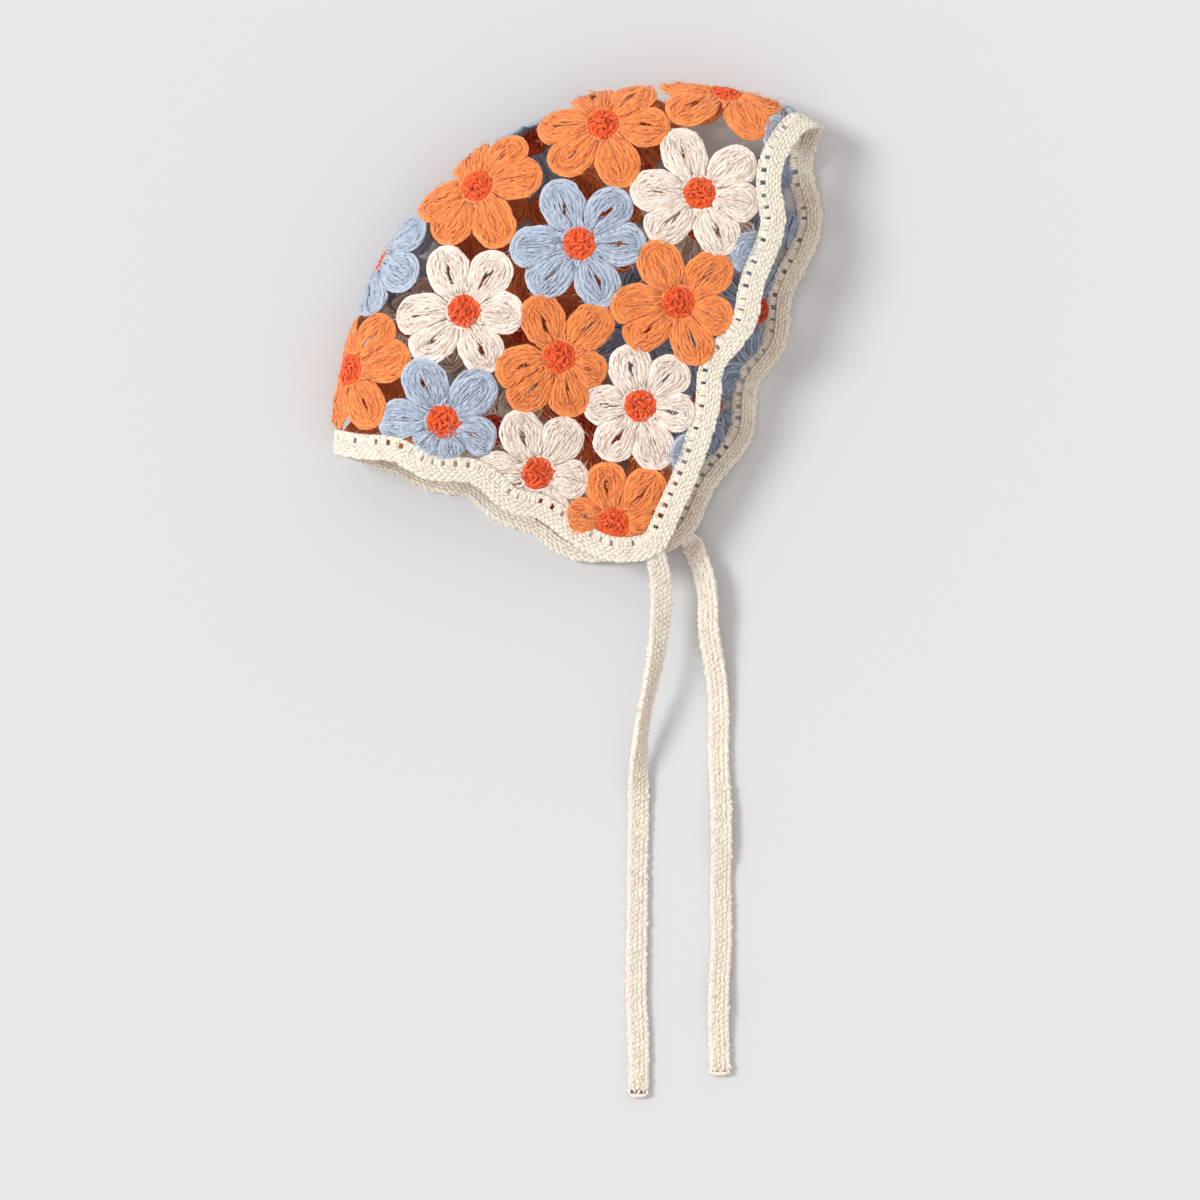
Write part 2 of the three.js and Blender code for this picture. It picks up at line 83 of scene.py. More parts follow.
# Name, yarn, u, v, over (1 near layer, 0 fold, -1 far layer), and whether the centre is whole
flowers = [
    ("near_flower_1", "orange", -0.2, 0.895, 1, True),
    ("near_flower_2", "orange", -0.576, 0.725, 1, True),
    ("near_flower_3", "cream", 0.087, 0.705, 1, True),
    ("near_flower_4", "blue", -0.272, 0.565, 1, True),
    ("near_flower_5", "cream", -0.615, 0.38, 1, True),
    ("near_flower_6", "orange", 0.024, 0.405, 1, True),
    ("near_flower_7", "orange", -0.331, 0.256, 1, True),
    ("near_flower_8", "orange", -0.957, 0.22, 0.28, True),
    ("near_flower_9", "blue", -0.68, 0.076, 1, True),
    ("near_flower_10", "cream", -0.09, 0.122, 1, True),
    ("near_flower_11", "cream", -0.398, -0.065, 1, True),
    ("near_flower_12", "orange", -0.17, -0.206, 1, True),
    ("near_flower_13", "orange", 0.167, 0.992, 0.1, True),
    ("near_flower_14", "blue", -0.857, 0.518, -0.2, True),
    ("far_flower_1", "orange", -0.125, 0.884, -1, True),
    ("far_flower_2", "blue", -0.415, 0.86, -0.6, True),
    ("far_flower_3", "orange", -0.606, 0.645, -1, True),
    ("far_flower_4", "cream", -0.782, 0.358, -1, True),
    ("far_flower_5", "orange", -0.851, 0.096, -1, False),
    ("far_flower_6", "orange", -0.254, 0.612, -1, True),
    ("far_flower_7", "cream", 0.09, 0.628, -1, True),
    ("far_flower_8", "orange", -0.442, 0.344, -1, True),
    ("far_flower_9", "blue", -0.09, 0.344, -1, True),
    ("far_flower_10", "blue", 0.25, 0.39, -1, True),
    ("far_flower_11", "cream", -0.537, 0.055, -1, True),
    ("far_flower_12", "orange", -0.239, 0.061, -1, True),
    ("far_flower_13", "blue", 0.11, 0.124, -1, True),
    ("far_flower_14", "orange", -0.085, -0.165, -1, True),
    ("far_flower_15", "cream", -0.373, -0.179, -1, False),
    ("far_flower_16", "blue", 0.385, 0.7, -1, False),
]

# Petals that turn away from the near layer's fan: which of the six, and degrees
turned_petals = {
    "near_flower_1": {0: -5}, "near_flower_2": {0: 6, 3: 195}, "near_flower_3": {1: 37},
    "near_flower_4": {0: 0}, "near_flower_5": {0: -3}, "near_flower_6": {0: -21, 4: 219},
    "near_flower_7": {0: -25, 3: 195}, "near_flower_9": {0: -24}, "near_flower_12": {3: 165},
}

# Blue flowers that the edging hides all but the petal tips of. It hides the third one whole,
# which only keeps its neighbours' petals short.
tucked_flowers = [
    ("petal_tips_1", "blue", 0.457, 0.851, 1, False),
    ("petal_tips_2", "blue", 0.379, 0.551, 1, False),
    ("petal_tips_3", "blue", 0.316, 0.251, 1, False),
    ("petal_tips_4", "blue", 0.179, -0.017, 1, False),
]

# The edging's middle line (u, v, over): near face, near neck, nape, far neck, far face, crown
edging = [
    (0.391, 0.917, 1), (0.304, 0.799, 1), (0.293, 0.716, 1), (0.31, 0.628, 1),
    (0.245, 0.46, 1), (0.218, 0.344, 1), (0.125, 0.234, 1), (0.113, 0.124, 1),
    (0.06, -0.036, 1), (-0.015, -0.193, 1), (-0.052, -0.262, 1),
    (-0.112, -0.276, 1), (-0.2, -0.27, 1), (-0.304, -0.21, 1), (-0.39, -0.155, 1),
    (-0.47, -0.144, 1), (-0.575, -0.063, 1), (-0.722, -0.05, 1), (-0.818, 0, 1),
    (-0.92, 0.006, 1),
    (-0.994, 0.022, 0),
    (-0.92, 0, -1), (-0.8, -0.042, -1), (-0.7, -0.085, -1), (-0.6, -0.095, -1),
    (-0.5, -0.172, -1), (-0.41, -0.195, -1), (-0.299, -0.268, -1), (-0.194, -0.275, -1),
    (-0.05, -0.256, -1),
    (0.03, -0.224, -1), (0.107, -0.083, -1), (0.215, 0.045, -1), (0.232, 0.19, -1),
    (0.316, 0.3, -1), (0.335, 0.44, -1), (0.4, 0.56, -1), (0.424, 0.647, -1),
    (0.392, 0.78, -1), (0.41, 0.868, -1),
    (0.424, 0.904, 0),
]

# Middle lines of the ties, from the middle of the fold's ellipse
tie_routes = {
    "tie_near": [
        (-5.3, -37.6, 19.4), (-3.6, -45, 17.4), (-3.2, -54, 15.4), (-3.6, -63, 14.4),
        (-5, -73.8, 14), (-7.2, -84.6, 13), (-9.4, -95.4, 10.6), (-10.8, -106.2, 7.4),
        (-11.2, -117, 3.9), (-11.2, -127.8, 1.7), (-11.3, -140.4, 1.4), (-11.6, -154.8, 1.4),
        (-11.6, -169.2, 1.4), (-11.9, -183.6, 1.4), (-11.9, -198, 1.4), (-11.2, -212.4, 1.4),
        (-11.2, -225, 1.4), (-11.2, -232.5, 1.4),
    ],
    "tie_far": [
        (7.8, -33, 5.2), (9.7, -37.8, 6), (12.2, -45, 7), (13.7, -54, 7),
        (14, -64.8, 6), (15.8, -75.6, 4), (17.3, -86.4, 2.5), (17.7, -97.2, 1.6),
        (17.6, -111.6, 1.6), (18.4, -126, 2.5), (18.7, -140.4, 3.4), (18.5, -151.2, 1.7),
        (18.5, -165.6, 1.5), (18.7, -176.4, 1.5), (18, -187.2, 2), (17.6, -198, 2.8),
        (17.5, -207, 2), (18, -216, 1.5), (18.1, -224.6, 1.7),
    ],
}

# How far each tie is rolled about its length: place along y, and degrees
tie_rolls = {
    "tie_near": [(-235, 0), (-125, 5), (-116, 30), (-104, 56), (-90, 58), (-74, 42), (-58, 20), (-37, 4)],
    "tie_far": [(-235, 0), (-150, 6), (-110, -6), (-80, -10), (-55, -18), (-33, -6)],
}


# Camera

picture_width = 432.0  # of the real surface, across the whole photograph
picture_middle = (7.5, -99.2)
camera_height = 4000.0
camera_data = bpy.data.cameras.new("camera")
camera_data.sensor_width = 36.0
camera_data.lens = camera_data.sensor_width * camera_height / picture_width
camera_data.clip_end = 100.0
camera = bpy.data.objects.new("camera", camera_data)
camera.location = [picture_middle[0] * metre, picture_middle[1] * metre, camera_height * metre]
scene.collection.objects.link(camera)
scene.camera = camera
scene.view_settings.view_transform = "Standard"


# The bonnet's middle in the row frame, from a flower that lies flat
def ellipse_middle():
    low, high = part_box("far_centre_9")
    place = {row[0]: row for row in flowers}["far_flower_9"]
    centre_x = (low[0] + high[0]) / 2 / metre
    centre_y = (low[1] + high[1]) / 2 / metre
    return np.array([centre_x - place[2] * bonnet_reach, centre_y - place[3] * bonnet_rise, 0.0])


shift = ellipse_middle()


# Yarn

yarn_sides = 6
yarn_taper = 0.55  # of its radius, at a strand's ends
yarn_rest = 0.45  # least height of a stitch's middle line over the table
hair_radii = (0.1, 0.085, 0.04)
hair_shade = 0.15
pattern_shift = 90.0  # each strand starts somewhere in this much of the yarn's pattern


def length_of(points):
    return np.linalg.norm(np.diff(points, axis=0), axis=1).sum()


def strand(points, thickness, shade=0.0, closed=False, pointed=True):
    """One length of yarn: its middle line, radius in mm, and how light it is."""
    points = np.asarray(points, float)
    radii = np.full(len(points), 1.0) * thickness
    if pointed and not closed:
        radii[0] *= yarn_taper
        radii[-1] *= yarn_taper
    return {"points": points, "radii": radii, "shade": shade, "closed": closed}


def wind(name, strands):
    """Makes one closed mesh of all the strands."""
    curve = bpy.data.curves.new(name, "CURVE")
    curve.dimensions = "3D"
    curve.bevel_depth = metre
    curve.bevel_resolution = (yarn_sides - 4) // 2
    for each in strands:
        count = len(each["points"])
        spline = curve.splines.new("POLY")
        spline.points.add(count - 1)
        places = np.ones((count, 4))
        places[:, :3] = (each["points"] + shift) * metre
        spline.points.foreach_set("co", places.ravel())
        spline.points.foreach_set("radius", each["radii"])
        spline.use_cyclic_u = each["closed"]
        spline.use_smooth = True
    holder = bpy.data.objects.new(name, curve)
    scene.collection.objects.link(holder)
    depsgraph = bpy.context.evaluated_depsgraph_get()
    mesh = bpy.data.meshes.new_from_object(holder.evaluated_get(depsgraph))
    bpy.data.objects.remove(holder)
    bpy.data.curves.remove(curve)
    mesh.name = name

    counts = np.array([len(each["points"]) * yarn_sides for each in strands])
    owner = np.repeat(np.arange(len(strands)), counts)
    shades = np.array([each["shade"] for each in strands])[owner]
    lengths = np.array([length_of(each["points"]) for each in strands])
    attribute = mesh.attributes.new("shade", "FLOAT", "POINT")
    attribute.data.foreach_set("value", shades.astype(np.float32))
    corners = np.zeros(len(mesh.loops), int)
    mesh.loops.foreach_get("vertex_index", corners)
    layer = mesh.uv_layers[0]
    uv = np.zeros(2 * len(mesh.loops), np.float32)
    layer.data.foreach_get("uv", uv)
    uv = uv.reshape(-1, 2)
    starts = chance.uniform(0, pattern_shift, len(strands))
    uv[:, 0] = uv[:, 0] * lengths[owner[corners]] + starts[owner[corners]]
    layer.data.foreach_set("uv", uv.ravel())

    work = bmesh.new()
    work.from_mesh(mesh)
    rims = [edge for edge in work.edges if edge.is_boundary]
    bmesh.ops.holes_fill(work, edges=rims, sides=yarn_sides)
    for face in work.faces:
        face.smooth = True
    work.to_mesh(mesh)
    work.free()
    piece = bpy.data.objects.new(name, mesh)
    scene.collection.objects.link(piece)
    return piece


def fuzz(strands, count, outward_of, length):
    """Fine hairs that leave the strands at a low angle and curve back."""
    points = np.vstack([each["points"] for each in strands])
    roots = points[chance.integers(0, len(points), count)]
    up = outward_of(roots)
    lean = unit(chance.normal(0, 1, (count, 3)))
    lean = unit(lean - up * (lean * up).sum(1, keepdims=True))
    sizes = length * chance.uniform(0.5, 1.3, (count, 1))
    rise = chance.uniform(0.2, 0.75, (count, 1))
    middle = roots + sizes * (0.42 * lean + 0.5 * rise * up)
    sway = unit(chance.normal(0, 1, (count, 3)))
    end = roots + sizes * (0.85 * lean + 0.6 * rise * up + 0.28 * sway)
    hairs = []
    for k in range(count):
        line = np.stack([roots[k], middle[k], end[k]])
        rest_on_table(line, hair_radii[0])
        hairs.append({
            "points": line, "radii": np.array(hair_radii),
            "shade": hair_shade, "closed": False,
        })
    return hairs


def every_way(points):
    """Any way, and mostly up, for hairs on a cord or band that has two faces."""
    return unit(chance.normal(0, 1, points.shape) + np.array([0, 0, 0.6]))


def rest_on_table(points, radius):
    points[:, 2] = np.maximum(points[:, 2], radius)


def lower_onto_table(strands):
    """Lifts yarn and hairs that would sink into the table."""
    for each in strands:
        is_yarn = each["radii"].max() > 2 * hair_radii[0]
        rest_on_table(each["points"], yarn_rest if is_yarn else hair_radii[0])


def finish_piece(piece, material, nodes=()):
    piece.data.materials.clear()
    piece.data.materials.append(material)
    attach(piece, "root")
    if nodes:
        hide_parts(*nodes)


# Smooth lines through given points

def smooth_line(points, closed):
    """A centripetal line through the points, with about four samples a millimetre."""
    points = np.asarray(points, float)
    count = len(points)
    if closed:
        spans = [[points[(i + k) % count] for k in (-1, 0, 1, 2)] for i in range(count)]
    else:
        before = 2 * points[0] - points[1]
        after = 2 * points[-1] - points[-2]
        padded = np.vstack([before, points, after])
        spans = [padded[i:i + 4] for i in range(count - 1)]
    samples = []
    for p0, p1, p2, p3 in spans:
        pairs = ((p0, p1), (p1, p2), (p2, p3))
        d0, d1, d2 = (max(1e-4, np.linalg.norm(b - a) ** 0.5) for a, b in pairs)
        t1 = ((p1 - p0) / d0 - (p2 - p0) / (d0 + d1) + (p2 - p1) / d1) * d1
        t2 = ((p2 - p1) / d1 - (p3 - p1) / (d1 + d2) + (p3 - p2) / d2) * d1
        steps = max(2, round(4 * np.linalg.norm(p2 - p1)))
        for t in np.arange(steps) / steps:
            samples.append(
                p1 + t1 * t + (3 * (p2 - p1) - 2 * t1 - t2) * t ** 2
                + (2 * (p1 - p2) + t1 + t2) * t ** 3
            )
    if not closed:
        samples.append(points[-1])
    return np.array(samples)


def evenly(samples, closed, step=None, count=None):
    """Resamples a line at equal distances. A closed line doesn't repeat its first point."""
    loop = np.vstack([samples, samples[:1]]) if closed else samples
    run = np.concatenate([[0], np.cumsum(np.linalg.norm(np.diff(loop, axis=0), axis=1))])
    pieces = count or round(run[-1] / step)
    marks = np.linspace(0, run[-1], pieces + 1)
    if closed:
        marks = marks[:-1]
    return np.column_stack([np.interp(marks, run, loop[:, k]) for k in range(3)])


# The layers of the bonnet: two flattish sheets that turn into each other round the fold

fold_start = 1 - fold_depth / bonnet_reach


def layer_height(u, v, near):
    """The near layer's rise or the far layer's drop from the fold, less its slumps."""
    height = np.where(near, near_swell, far_drop)
    for side, middle_u, middle_v, spread, share in slumps:
        away = np.hypot(u - middle_u, v - middle_v) / spread
        left = 1 - share * np.maximum(0, 1 - away ** 2) ** 2
        height = np.where(near == (side > 0), height * left, height)
    return height


def fold_turn(u, v, near):
    """0 in the middle of a layer and 1 on the fold."""
    share = np.hypot(u, v)
    far_turn = np.maximum(0, (share - fold_start) / (1 - fold_start))
    return np.where(near, share ** near_fullness, far_turn)


def shell_level(p):
    """0 on the cloth, less inside it and more outside."""
    u = p[..., 0] / bonnet_reach
    v = p[..., 1] / bonnet_rise
    climb = p[..., 2] - fold_height
    near = climb > 0
    return fold_turn(u, v, near) ** 2 + (climb / layer_height(u, v, near)) ** 2 - 1


def shell_slope(p):
    nudge = 0.01
    parts = []
    for axis in range(3):
        step = np.zeros(3)
        step[axis] = nudge
        parts.append((shell_level(p + step) - shell_level(p - step)) / (2 * nudge))
    return np.stack(parts, axis=-1)


def settle(p, passes=8):
    """Moves points onto the cloth."""
    for _ in range(passes):
        slope = shell_slope(p)
        p = p - slope * (shell_level(p) / np.maximum(1e-12, (slope ** 2).sum(-1)))[..., None]
    return p


def unit(v):
    return v / np.maximum(1e-12, np.linalg.norm(v, axis=-1, keepdims=True))


def outward(p):
    return unit(shell_slope(p))


def place_on_shell(u, v, over):
    """A point of the cloth, from its shares of the reach and the rise, and its layer."""
    on_fold = abs(over) < 1
    near = over >= 0
    pull = 1.0
    rest = math.sqrt(1 - min(0.95, float(fold_turn(u, v, near))) ** 2)
    if on_fold:
        turned = math.sqrt(1 - over ** 2)
        out = turned ** (1 / near_fullness) if near else fold_start + (1 - fold_start) * turned
        pull = out / math.hypot(u, v)
        rest = abs(over)
    height = float(layer_height(u * pull, v * pull, near)) * rest * (1 if near else -1)
    return settle(np.array([u * pull * bonnet_reach, v * pull * bonnet_rise, fold_height + height]))


def walk(start, way, distance):
    """Follows the cloth from a point along each of many headings, each for its own distance."""
    steps = 9
    p = np.broadcast_to(start, way.shape).copy()
    way = way.copy()
    for _ in range(steps):
        p = settle(p + way * (distance / steps)[..., None], 4)
        up = outward(p)
        way = unit(way - up * (way * up).sum(-1, keepdims=True))
    return p


# Where the flowers sit and how their petals turn

def seat_flower(row):
    """A flower's middle on the cloth, with its own ways up, across and along."""
    name, yarn, u, v, over, whole = row
    middle = place_on_shell(u, v, over)
    up = outward(middle)
    across = np.array([1.0, 0, 0]) if abs(up[0]) <= 0.7 else np.array([0, 1.0, 0])
    across = unit(across - up * across.dot(up))
    return {
        "name": name, "yarn": yarn, "whole": whole, "middle": middle, "up": up,
        "across": across, "along": np.cross(up, across), "front": -1 if over < -0.5 else 1,
        "on_top": over == 1, "on_fold": abs(over) < 1, "near": not name.startswith("far"),
    }


seats = [seat_flower(row) for row in flowers + tucked_flowers]


def nearest_gap(seat):
    return min(
        np.linalg.norm(other["middle"] - seat["middle"])
        for other in seats
        if other is not seat and other["up"].dot(seat["up"]) > 0
    )


flower_pitch = sum(nearest_gap(seat) for seat in seats) / len(seats)
petal_reach = flower_pitch / math.sqrt(3)


def angle_of(seat, offset):
    return math.atan2(offset.dot(seat["along"]), offset.dot(seat["across"]))


def wrap_angle(angle):
    return math.atan2(math.sin(angle), math.cos(angle))


def neighbours_of(seat):
    found = []
    for other in seats:
        offset = other["middle"] - seat["middle"]
        close = np.linalg.norm(offset) < neighbour_range * flower_pitch
        if other is not seat and close and other["up"].dot(seat["up"]) > -0.5:
            found.append((angle_of(seat, offset), offset, other))
    return sorted(found, key=lambda each: each[0])


def meeting_points(seat, neighbours):
    """Where three flowers meet, as angle and reach. Far flowers don't count for a near one."""
    neighbours = [each for each in neighbours if each[2]["near"] or not seat["near"]]
    points = []
    for i, (angle, _, first) in enumerate(neighbours):
        next_angle, _, second = neighbours[(i + 1) % len(neighbours)]
        opening = (next_angle - angle) % (2 * math.pi)
        if meeting_openings[0] < opening < meeting_openings[1]:
            ab = first["middle"] - seat["middle"]
            ac = second["middle"] - seat["middle"]
            across = np.cross(ab, ac)
            point = np.cross(across, ab) * ac.dot(ac) + np.cross(ac, across) * ab.dot(ab)
            point = point / (2 * across.dot(across)) + seat["middle"]
            offset = settle(point) - seat["middle"]
            points.append((angle_of(seat, offset), np.linalg.norm(offset)))
    return points


def headings_at(seat, angles):
    angles = np.asarray(angles, float)[:, None]
    return seat["across"] * np.cos(angles) + seat["along"] * np.sin(angles)


def clear_of_neighbours(seat, angles, wanted, neighbours):
    """Draws each reach back to this flower's share of the way to every neighbour."""
    reach = np.array(wanted, float)
    ways = headings_at(seat, angles)
    for _ in range(6):
        tips = walk(seat["middle"], ways, reach) - seat["middle"]
        worst = np.zeros(len(reach))
        for _, offset, other in neighbours:
            far = np.linalg.norm(offset)
            share = 0.5
            if seat["near"] != other["near"]:
                share = near_share if seat["near"] else far_share
            worst = np.maximum(worst, tips @ offset / far - (far * share - petal_gap / 2))
        reach = reach - worst
    return reach


def even_fan(points):
    start = math.pi / 6
    if points:
        sines = sum(math.sin(6 * angle) for angle, _ in points)
        cosines = sum(math.cos(6 * angle) for angle, _ in points)
        start = math.atan2(sines, cosines) / 6
    return [wrap_angle(start + k * math.pi / 3) for k in range(6)]


def petals_of(seat):
    """Angle and reach of each of the six petals."""
    neighbours = neighbours_of(seat)
    points = meeting_points(seat, neighbours)
    wander = near_wander if seat["on_top"] else petal_wander
    usual = near_reach if seat["near"] else petal_reach
    turned = turned_petals.get(seat["name"], {})
    angles, wanted = [], []
    for k, angle in enumerate(near_fan if seat["on_top"] else even_fan(points)):
        reach = usual
        if k in turned:
            angle, nearby = math.radians(turned[k]), []
        else:
            nearby = [each for each in points if abs(wrap_angle(each[0] - angle)) < wander]
        if nearby:
            angle, point_reach = nearby[0]
            least, most = meeting_reach
            reach = min(most, max(least, point_reach / petal_reach)) * petal_reach
        angles.append(angle)
        wanted.append(reach)
    angles, wanted = np.array(angles), np.array(wanted)
    shoulders = shoulder_share * wanted
    tip = clear_of_neighbours(seat, angles, wanted, neighbours)
    left = clear_of_neighbours(seat, angles + shoulder_turn, shoulders, neighbours) / shoulder_share
    right = clear_of_neighbours(seat, angles - shoulder_turn, shoulders, neighbours) / shoulder_share
    reach = np.minimum(tip, 0.5 * np.minimum(tip, np.minimum(left, right)) + 0.5 * tip)
    return list(zip(angles, reach))


def under_flower(seat, flat):
    """Takes points in a flower's own plane to the cloth, with the way up for each."""
    angle = np.arctan2(flat[:, 1], flat[:, 0])
    p = walk(seat["middle"], headings_at(seat, angle), np.hypot(flat[:, 0], flat[:, 1]))
    return p, outward(p) * seat["front"]


# The edging's line, with its corners rounded

corner_rounding = 4  # samples on either side that each sample is evened out with


def edging_line():
    loop = smooth_line([place_on_shell(*row) for row in edging], True)
    fine = evenly(loop, True, step=1.0)
    spread = range(-corner_rounding, corner_rounding + 1)
    mean = sum(np.roll(fine, k, axis=0) for k in spread) / len(spread)
    return evenly(settle(mean), True, step=1.0)


band_line = edging_line()
band_up = outward(band_line)
band_ahead = unit(np.roll(band_line, -1, axis=0) - np.roll(band_line, 1, axis=0))
band_left = unit(np.cross(band_up, band_ahead))
band_length = float(len(band_line))


def on_band(place, across, height):
    """Points by distance along the edging, across it (outer edge positive) and over it."""
    place = np.asarray(place, float) % band_length
    first = np.floor(place).astype(int) % len(band_line)
    second = (first + 1) % len(band_line)
    share = (place - np.floor(place))[:, None]
    p = band_line[first] * (1 - share) + band_line[second] * share
    left = unit(band_left[first] * (1 - share) + band_left[second] * share)
    up = unit(band_up[first] * (1 - share) + band_up[second] * share)
    p = p + left * np.asarray(across, float)[:, None] + up * np.asarray(height, float)[:, None]
    return p


def room_to_edging(seat, points):
    """How far each point lies inside the edging's inner edge, on its flower's own layer."""
    same_side = band_up @ seat["up"] > 0
    line, left = band_line[same_side], band_left[same_side]
    away = points[:, None, :] - line[None]
    nearest = (away ** 2).sum(-1).argmin(1)
    rows = np.arange(len(points))
    across = (away[rows, nearest] * left[nearest]).sum(-1)
    return -across - band_width / 2


# Materials

ply_turn = 3.0  # length of yarn in which its plies turn once
usual_lightness = 0.78  # share of the way from a yarn's deep colour to its own


def soft_yarn(name, colour, deep, glow, contrast=1.0):
    """Brushed yarn: two plies twisted together, mottled, with fibres that stand off."""
    material = bpy.data.materials.new(name)
    material.use_nodes = True
    nodes, links = material.node_tree.nodes, material.node_tree.links
    shader = nodes["Principled BSDF"]
    shader.inputs["Roughness"].default_value = 0.92
    shader.inputs["Specular IOR Level"].default_value = 0.15
    shader.inputs["Sheen Weight"].default_value = glow
    shader.inputs["Sheen Roughness"].default_value = 0.6

    where = nodes.new("ShaderNodeTexCoord")
    blotches = nodes.new("ShaderNodeTexNoise")
    blotches.inputs["Scale"].default_value = 260.0
    blotches.inputs["Detail"].default_value = 3.0
    links.new(where.outputs["Object"], blotches.inputs["Vector"])
    fibres = nodes.new("ShaderNodeTexNoise")
    fibres.inputs["Scale"].default_value = 2600.0
    fibres.inputs["Detail"].default_value = 4.0
    fibres.inputs["Roughness"].default_value = 0.7
    links.new(where.outputs["Object"], fibres.inputs["Vector"])

    lay = nodes.new("ShaderNodeUVMap")
    split = nodes.new("ShaderNodeSeparateXYZ")
    links.new(lay.outputs["UV"], split.inputs["Vector"])
    turns = nodes.new("ShaderNodeMath")
    turns.operation = "MULTIPLY_ADD"
    turns.inputs[1].default_value = 2 * math.pi / ply_turn
    links.new(split.outputs["X"], turns.inputs[0])
    round_yarn = nodes.new("ShaderNodeMath")
    round_yarn.operation = "MULTIPLY"
    round_yarn.inputs[1].default_value = 4 * math.pi
    links.new(split.outputs["Y"], round_yarn.inputs[0])
    links.new(round_yarn.outputs["Value"], turns.inputs[2])
    plies = nodes.new("ShaderNodeMath")
    plies.operation = "SINE"
    links.new(turns.outputs["Value"], plies.inputs[0])

    stretch = nodes.new("ShaderNodeMapping")
    stretch.inputs["Scale"].default_value = (0.55, 2.0, 1.0)
    links.new(lay.outputs["UV"], stretch.inputs["Vector"])
    streaks = nodes.new("ShaderNodeTexNoise")
    streaks.inputs["Scale"].default_value = 1.0
    streaks.inputs["Detail"].default_value = 2.0
    links.new(stretch.outputs["Vector"], streaks.inputs["Vector"])

    # Lightness: the strand's shade attribute (its own tone, and on the far layer's flowers a painted
    # shade), blotches, streaks, fibres and the twist together
    attribute = nodes.new("ShaderNodeAttribute")
    attribute.attribute_name = "shade"
    mix = attribute.outputs["Fac"]
    for source, weight, middle in (
        (blotches.outputs["Fac"], 0.5 * contrast, 0.5),
        (streaks.outputs["Fac"], 0.9 * contrast, 0.5),
        (fibres.outputs["Fac"], 0.4 * contrast, 0.5),
        (plies.outputs["Value"], 0.05 * contrast, 0.0),
    ):
        centred = nodes.new("ShaderNodeMath")
        centred.operation = "SUBTRACT"
        centred.inputs[1].default_value = middle
        links.new(source, centred.inputs[0])
        added = nodes.new("ShaderNodeMath")
        added.operation = "MULTIPLY_ADD"
        added.inputs[1].default_value = weight
        links.new(centred.outputs["Value"], added.inputs[0])
        links.new(mix, added.inputs[2])
        mix = added.outputs["Value"]
    ramp = nodes.new("ShaderNodeValToRGB")
    ramp.color_ramp.elements[0].position = 0.0
    ramp.color_ramp.elements[0].color = (*deep, 1)
    ramp.color_ramp.elements[1].position = 1.0
    ramp.color_ramp.elements[1].color = (*colour, 1)
    lift = nodes.new("ShaderNodeMath")
    lift.operation = "ADD"
    lift.inputs[1].default_value = usual_lightness
    links.new(mix, lift.inputs[0])
    links.new(lift.outputs["Value"], ramp.inputs["Fac"])
    links.new(ramp.outputs["Color"], shader.inputs["Base Color"])

    relief = nodes.new("ShaderNodeMath")
    relief.operation = "MULTIPLY_ADD"
    relief.inputs[1].default_value = 0.3
    links.new(plies.outputs["Value"], relief.inputs[0])
    links.new(fibres.outputs["Fac"], relief.inputs[2])
    bump = nodes.new("ShaderNodeBump")
    bump.inputs["Strength"].default_value = 0.6
    bump.inputs["Distance"].default_value = 0.0004
    links.new(relief.outputs["Value"], bump.inputs["Height"])
    links.new(bump.outputs["Normal"], shader.inputs["Normal"])
    return material


yarns = {
    "orange": soft_yarn("orange_yarn", (1.0, 0.33, 0.08), (0.48, 0.06, 0.008), 0.3),
    "cream": soft_yarn("cream_yarn", (1.0, 0.88, 0.78), (0.5, 0.36, 0.27), 0.3),
    "blue": soft_yarn("blue_yarn", (0.56, 0.63, 0.74), (0.13, 0.17, 0.27), 0.3),
    "red": soft_yarn("red_yarn", (0.97, 0.135, 0.022), (0.4, 0.018, 0.003), 0.2),
    "edging": soft_yarn("edging_yarn", (0.93, 0.86, 0.745), (0.62, 0.5, 0.36), 0.3, 0.6),
    "tie": soft_yarn("tie_yarn", (0.9, 0.82, 0.71), (0.6, 0.48, 0.36), 0.3, 0.5),
}


# Ties: flat crocheted cords

tie_cores = (-2.6, -0.9, 0.9, 2.6)
tie_columns = (-3.2, -1.6, 0.0, 1.6, 3.2)
tie_pitch = 1.9
tie_end_room = 0.8


def tie_frame(name):
    """A tie's middle line, with its ways across and up at each point."""
    line = evenly(smooth_line(tie_routes[name], False), False, step=1.0)
    ahead = unit(np.gradient(line, axis=0))
    level = unit(np.cross(ahead, np.array([0, 0, 1.0])))
    marks, degrees = zip(*tie_rolls[name])
    roll = np.radians(np.interp(line[:, 1], marks, degrees))
    over = np.cross(level, ahead)
    side = level * np.cos(roll)[:, None] + over * np.sin(roll)[:, None]
    up = np.cross(side, ahead)
    return line, side, up


def on_tie(tie, place, across, height):
    """Points by distance along a tie, across it and over it."""
    line, side, up = tie
    marks = np.arange(len(line))

    def at(values):
        return np.column_stack([np.interp(place, marks, values[:, k]) for k in range(3)])

    p = at(line) + unit(at(side)) * np.asarray(across)[:, None]
    return p + unit(at(up)) * np.asarray(height)[:, None]


